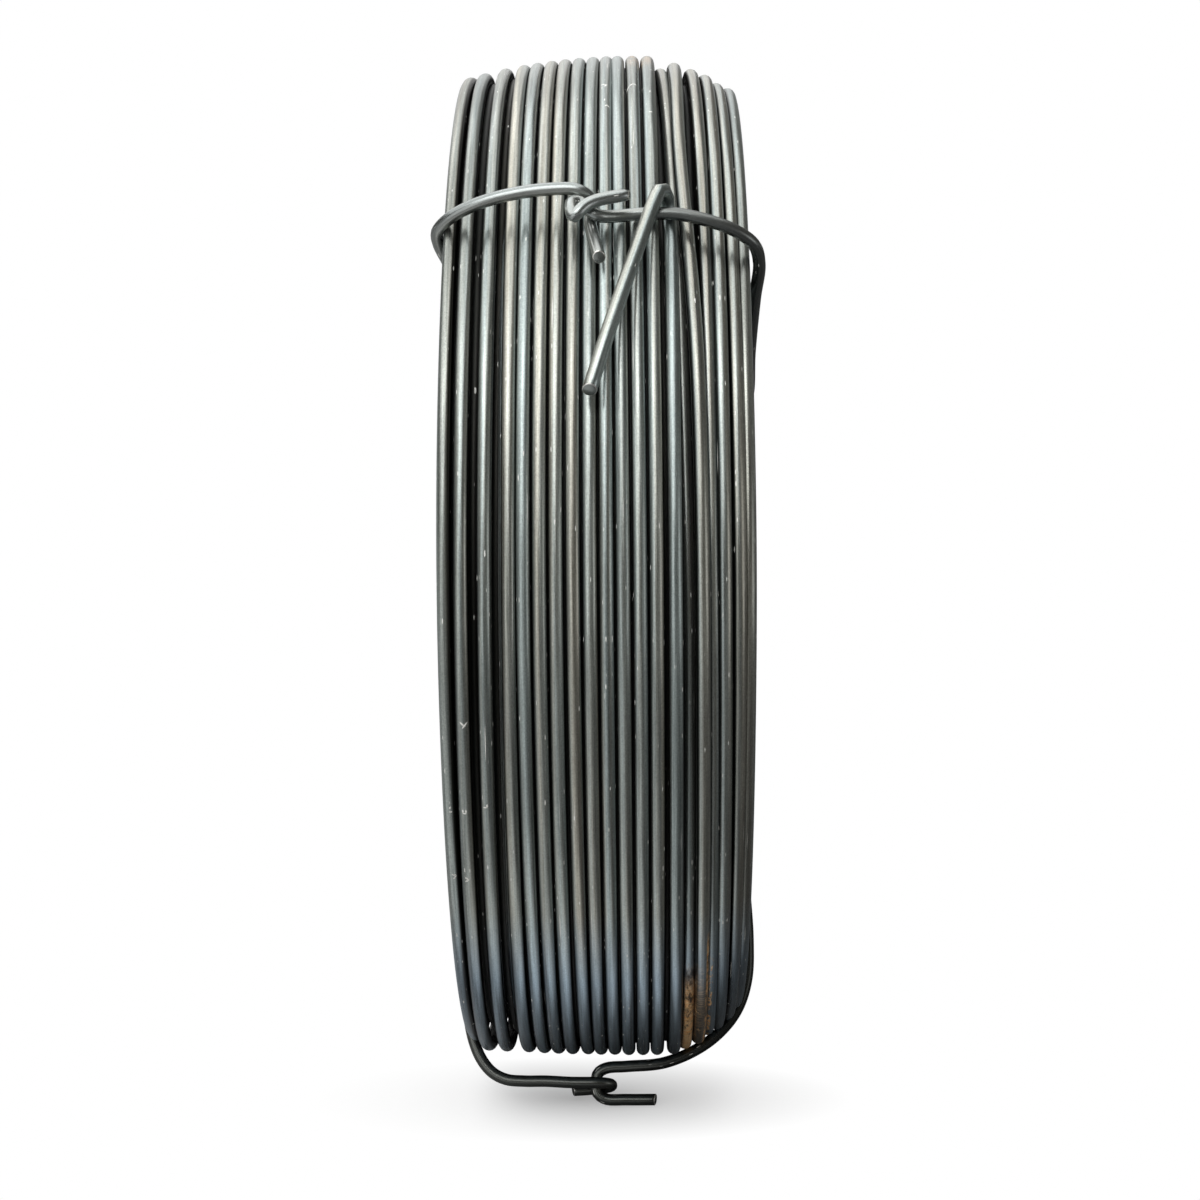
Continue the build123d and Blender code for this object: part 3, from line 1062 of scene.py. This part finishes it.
bpy.ops.object.select_all(action="DESELECT")
bpy.ops.mesh.primitive_plane_add(size=floor_size, location=(0, 0, floor_height))
floor = bpy.context.object
floor.name = "studio_floor"
floor_material = bpy.data.materials.new("studio_floor")
floor_material.use_nodes = True
floor_tree = floor_material.node_tree
paper = floor_tree.nodes["Principled BSDF"]
paper.inputs["Roughness"].default_value = 0.9
paper.inputs["Specular IOR Level"].default_value = 0.1
floor_rays = node(floor_tree, "ShaderNodeLightPath").outputs
floor_place = node(floor_tree, "ShaderNodeTexCoord").outputs["Object"]
floor_across, floor_depth = node(floor_tree, "ShaderNodeSeparateXYZ", None, Vector=floor_place).outputs[:2]
# Painted shade: for all but camera rays, the paper's colour falls off towards the right.
paper_light_falloff = remap(floor_tree, floor_across, 20 * mm, -10 * mm, 0.12, 0.35)
lit = largest(floor_tree, floor_rays["Is Camera Ray"], paper_light_falloff)
give(floor_tree, paper.inputs["Base Color"], mix_colour(floor_tree, lit, no_colour, paper_colour))
floor.data.materials.append(floor_material)
print("floor at", floor_height)

# %% [markdown]
# Two oval shadows lie on the floor: the one that shows in front, under the bottom tie, and one where the rim stands.
# Inside them the floor's own shading comes through the white, so the real shadows of the wires show there too.

# %% Shadows on the floor
shadow_white = 0.3


def from_shadow(centre, half_width, half_depth):
    """Distance from the middle of a shadow on the floor, as a share of its size."""
    shares = (1 / half_width, 1 / half_depth, 0)
    moved = (-centre[0] / half_width, -centre[1] / half_depth, 0)
    placed = node(
        floor_tree, "ShaderNodeVectorMath", {"operation": "MULTIPLY_ADD"}, i0=floor_place, i1=shares, i2=moved
    )
    return length_of(floor_tree, placed.outputs[0])


front_shadow = from_shadow((-3.3 * mm, -26.0 * mm), 33.0 * mm, 11.1 * mm)
rim_shadow = from_shadow((0.0, 7.0 * mm), 17.0 * mm, 16.0 * mm)
shadow_distance = math_node(floor_tree, "MINIMUM", front_shadow, rim_shadow)
unshaded = remap(floor_tree, shadow_distance, 0.0, 1.0, shadow_white, 1.0)
seen_straight = product(floor_tree, floor_rays["Is Camera Ray"], unshaded)

# %% [markdown]
# Polished metal shows what is around it, so the look of the lower turns is a picture of the floor in front of them.
# There the floor glows in a wedge to the left of the middle, which puts the bright line on the left side of each turn.
# The wedge ends before the coil's foot, so the lowest turns stay dark. Far away the whole floor is bright.

# %% What the wires see of the floor
near_foot = remap(floor_tree, floor_depth, -37 * mm, -47 * mm)
nearer_floor = remap(floor_tree, floor_depth, -120 * mm, -70 * mm, 0.5, 1.0)
further_floor = remap(floor_tree, floor_depth, -400 * mm, -160 * mm, 0.6, 1.0)
right_line = math_node(floor_tree, "SUBTRACT", floor_across, product(floor_tree, floor_depth, 0.25))
left_line = math_node(floor_tree, "SUBTRACT", floor_across, product(floor_tree, floor_depth, 3.0))
right_limit = remap(floor_tree, right_line, 39 * mm, 15 * mm)
left_limit = remap(floor_tree, left_line, 115 * mm, 140 * mm)
wedge = product(floor_tree, right_limit, left_limit, near_foot, nearer_floor, further_floor)
far_floor = remap(floor_tree, length_of(floor_tree, floor_place), 1.0, 2.5)
mirrored = largest(floor_tree, floor_rays["Is Glossy Ray"], floor_rays["Is Transmission Ray"])
seen_in_wire = product(floor_tree, mirrored, largest(floor_tree, wedge, far_floor))

floor_glow = node(floor_tree, "ShaderNodeEmission", None, Color=white, Strength=1.0)
floor_white = largest(floor_tree, seen_straight, seen_in_wire)
floor_mix = node(floor_tree, "ShaderNodeMixShader", None, i0=floor_white, i1=paper.outputs[0], i2=floor_glow.outputs[0])
give(floor_tree, floor_tree.nodes["Material Output"].inputs["Surface"], floor_mix.outputs[0])
print("floor nodes", len(floor_tree.nodes))

# %% [markdown]
# ## Lights
# The photograph was lit from above and the left, by large soft lights that draw long bright lines down the turns.
# One is overhead and one behind for the top of the coil, one is high in front, and one low on the left.
# A small one on the right keeps that side from going black.

# %% Softboxes
def softbox(name, place, size, strength):
    """A square light that faces the coil. Its strength is the brightness of its face."""
    bpy.ops.object.light_add(type="AREA", location=place)
    lamp = bpy.context.object
    lamp.name = name
    lamp.data.shape = "SQUARE"
    lamp.data.size = size
    lamp.data.energy = strength * math.pi * size * size
    lamp.rotation_euler = Vector(place).to_track_quat("Z", "Y").to_euler()
    print(name, "watts", round(lamp.data.energy, 2))


bpy.ops.object.select_all(action="DESELECT")
softbox("overhead_softbox", (-0.18, 0.05, 0.58), 1.1, 1.95)
softbox("back_softbox", (-0.2, 0.85, 0.42), 0.8, 1.05)
softbox("front_top_softbox", (-0.22, -0.56, 0.62), 0.62, 2.7)
softbox("front_left_softbox", (-0.5, -0.6, 0.12), 0.5, 1.2)
softbox("right_softbox", (0.5, -0.3, 0.08), 0.25, 1.2)

# %% [markdown]
# ## World
# The world fills the room with a little warm light. The camera sees it white, as it sees the floor,
# and in the wires it has a faint glow behind the coil.

# %% World
world_colour = (1, 0.97, 0.87, 1)
world_strength = 0.12
glow_behind = 0.08

world = bpy.data.worlds.new("studio_world")
bpy.context.scene.world = world
world.use_nodes = True
world_tree = world.node_tree
plain = world_tree.nodes["Background"]
plain.inputs["Color"].default_value = world_colour
plain.inputs["Strength"].default_value = world_strength
backdrop = node(world_tree, "ShaderNodeBackground", None, Color=white, Strength=1.0)
world_rays = node(world_tree, "ShaderNodeLightPath").outputs
direction = node(world_tree, "ShaderNodeTexCoord").outputs["Generated"]
backwards = node(world_tree, "ShaderNodeSeparateXYZ", None, Vector=direction).outputs[1]
behind = remap(world_tree, backwards, 0.5, 0.8, 0.0, glow_behind)
world_mirrored = largest(world_tree, world_rays["Is Glossy Ray"], world_rays["Is Transmission Ray"])
world_white = largest(world_tree, world_rays["Is Camera Ray"], product(world_tree, world_mirrored, behind))
world_mix = node(world_tree, "ShaderNodeMixShader", None, i0=world_white, i1=plain.outputs[0], i2=backdrop.outputs[0])
give(world_tree, world_tree.nodes["World Output"].inputs["Surface"], world_mix.outputs[0])
bpy.context.scene.view_settings.view_transform = "Standard"
print("world nodes", len(world_tree.nodes))
